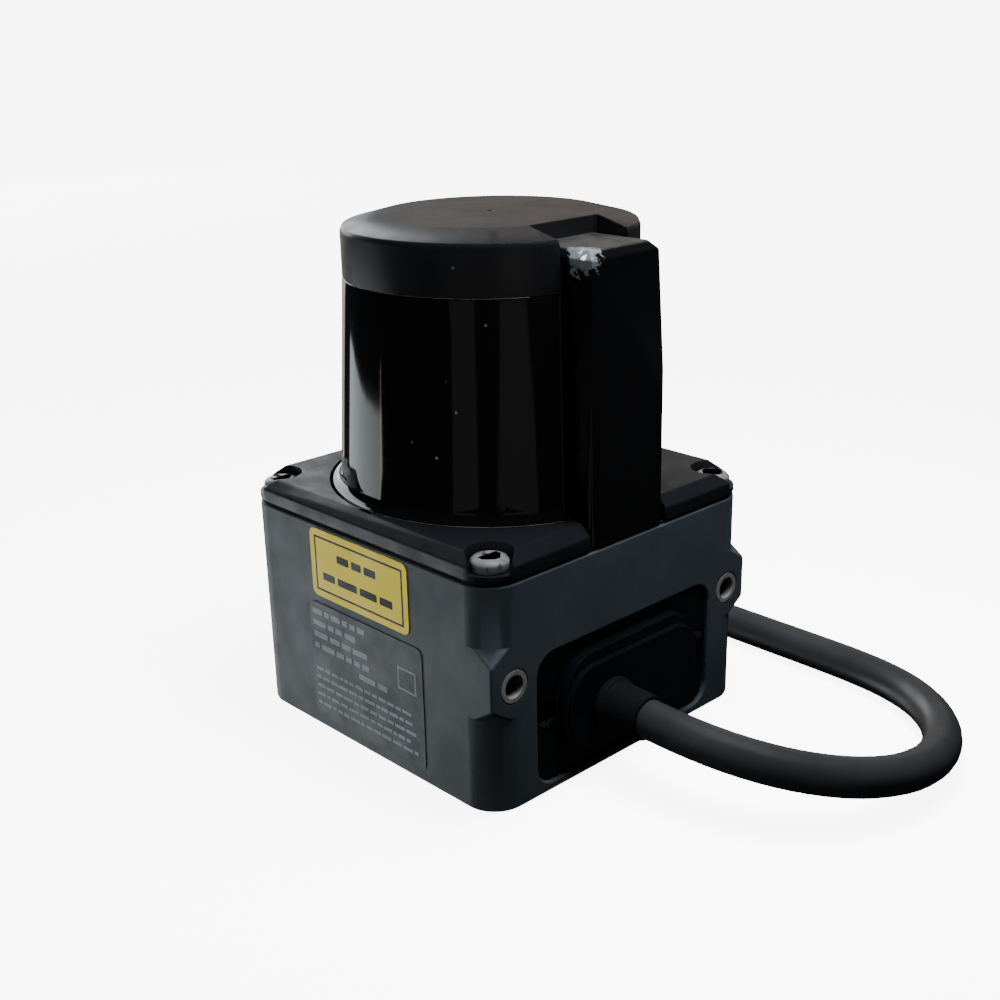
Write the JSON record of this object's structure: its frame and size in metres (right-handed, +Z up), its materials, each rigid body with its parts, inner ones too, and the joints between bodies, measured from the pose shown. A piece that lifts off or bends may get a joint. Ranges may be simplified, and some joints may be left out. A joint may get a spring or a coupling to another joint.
{
  "type": "scanning lidar module",
  "caption": "Square-based scanning lidar: a black infrared window with a rear spine on a painted housing, a hidden spinning mirror head, rear fixing lugs and a cable with a round plug.",
  "frame": {"origin": "centre of the housing's flat underside, on the scan axis", "axes": "+Z up along the scan axis, +X towards the middle of the scan field, the cable leaves the rear face at -X"},
  "size_m": [0.1478, 0.1045, 0.0708],
  "materials": {
    "housing_paint": "satin",
    "flange_paint": "satin",
    "panel_paint": "satin",
    "insert_steel": "satin",
    "seal_rubber": "matte",
    "window_black": "gloss",
    "cap_black": "satin",
    "screw_zinc": "satin",
    "screw_black": "satin",
    "label_yellow": "satin",
    "label_dark": "satin",
    "relief_rubber": "matte",
    "cable_jacket": "satin",
    "board_green": "satin",
    "chip_black": "matte",
    "connector_ivory": "satin",
    "spacer_brass": "satin",
    "motor_alloy": "satin",
    "sensor_gold": "polished",
    "stator_steel": "matte",
    "coil_copper": "gloss",
    "bearing_steel": "polished",
    "rotor_alloy": "satin",
    "bell_steel": "satin",
    "magnet_dark": "matte",
    "encoder_black": "gloss",
    "head_black": "matte",
    "lens_glass": "polished",
    "mirror_coat": "polished",
    "flex_amber": "satin",
    "tie_black": "satin",
    "plug_black": "matte",
    "contact_gold": "polished",
    "nut_zinc": "polished"
  },
  "bodies": {
    "housing": {"base_housing": "housing_paint", "lug_inserts": "insert_steel", "window_gasket": "seal_rubber", "top_flange": "flange_paint", "scan_window": "window_black", "cover_screws": "screw_zinc", "top_cap": "cap_black", "warning_label": "label_yellow", "data_label": "label_dark", "rear_panel": "panel_paint", "panel_gasket": "seal_rubber", "panel_screws": "screw_black", "strain_relief": "relief_rubber", "interface_board": "board_green", "interface_parts": "chip_black", "cable_header": "connector_ivory", "inner_leads": "cable_jacket", "lower_spacers": "spacer_brass", "main_board": "board_green", "main_board_parts": "chip_black", "upper_spacers": "spacer_brass", "motor_base": "motor_alloy", "stack_screws": "screw_zinc", "detector_board": "board_green", "photodetector": "sensor_gold", "stator_core": "stator_steel", "stator_coils": "coil_copper", "encoder_sensor": "chip_black", "lower_outer_race": "bearing_steel", "upper_outer_race": "bearing_steel", "collimator": "sensor_gold", "collimator_lens": "lens_glass", "laser_diode": "sensor_gold", "laser_board": "board_green", "laser_board_screws": "screw_zinc", "flex_cable": "flex_amber", "flex_connector": "connector_ivory", "cable_run": "cable_jacket", "cable_coil": "cable_jacket", "cable_end": "cable_jacket", "cable_tie": "tie_black", "plug_body": "plug_black", "plug_insert": "contact_gold"},
    "rotor": {"rotor_shaft": "rotor_alloy", "rotor_bell": "bell_steel", "magnet_ring": "magnet_dark", "encoder_disc": "encoder_black", "mirror_head": "head_black", "head_screws": "screw_zinc", "receive_lens": "lens_glass", "receive_mirror": "mirror_coat", "light_baffle": "head_black", "send_mirror": "mirror_coat", "lower_inner_race": "bearing_steel", "upper_inner_race": "bearing_steel"},
    "lower_balls": {"lower_ball_cage": "bearing_steel"},
    "upper_balls": {"upper_ball_cage": "bearing_steel"},
    "plug_ring": {"plug_nut": "nut_zinc"}
  },
  "joints": [
    {"name": "rotor_spin", "type": "hinge", "parent": "housing", "child": "rotor", "pos_m": [0, 0, 0.027], "axis": [0, 0, 1], "continuous": true},
    {"name": "lower_balls_orbit", "type": "hinge", "parent": "housing", "child": "lower_balls", "pos_m": [0, 0, 0.0228], "axis": [0, 0, 1], "continuous": true},
    {"name": "upper_balls_orbit", "type": "hinge", "parent": "housing", "child": "upper_balls", "pos_m": [0, 0, 0.0271], "axis": [0, 0, 1], "continuous": true},
    {"name": "plug_ring_turn", "type": "hinge", "parent": "housing", "child": "plug_ring", "pos_m": [0.078, -0.073, 0.0162], "axis": [1, 0, 0], "continuous": true}
  ],
  "couplings": [
    {"joint": "lower_balls_orbit", "follows": "rotor_spin", "ratio": 0.4461},
    {"joint": "upper_balls_orbit", "follows": "rotor_spin", "ratio": 0.4461}
  ]
}
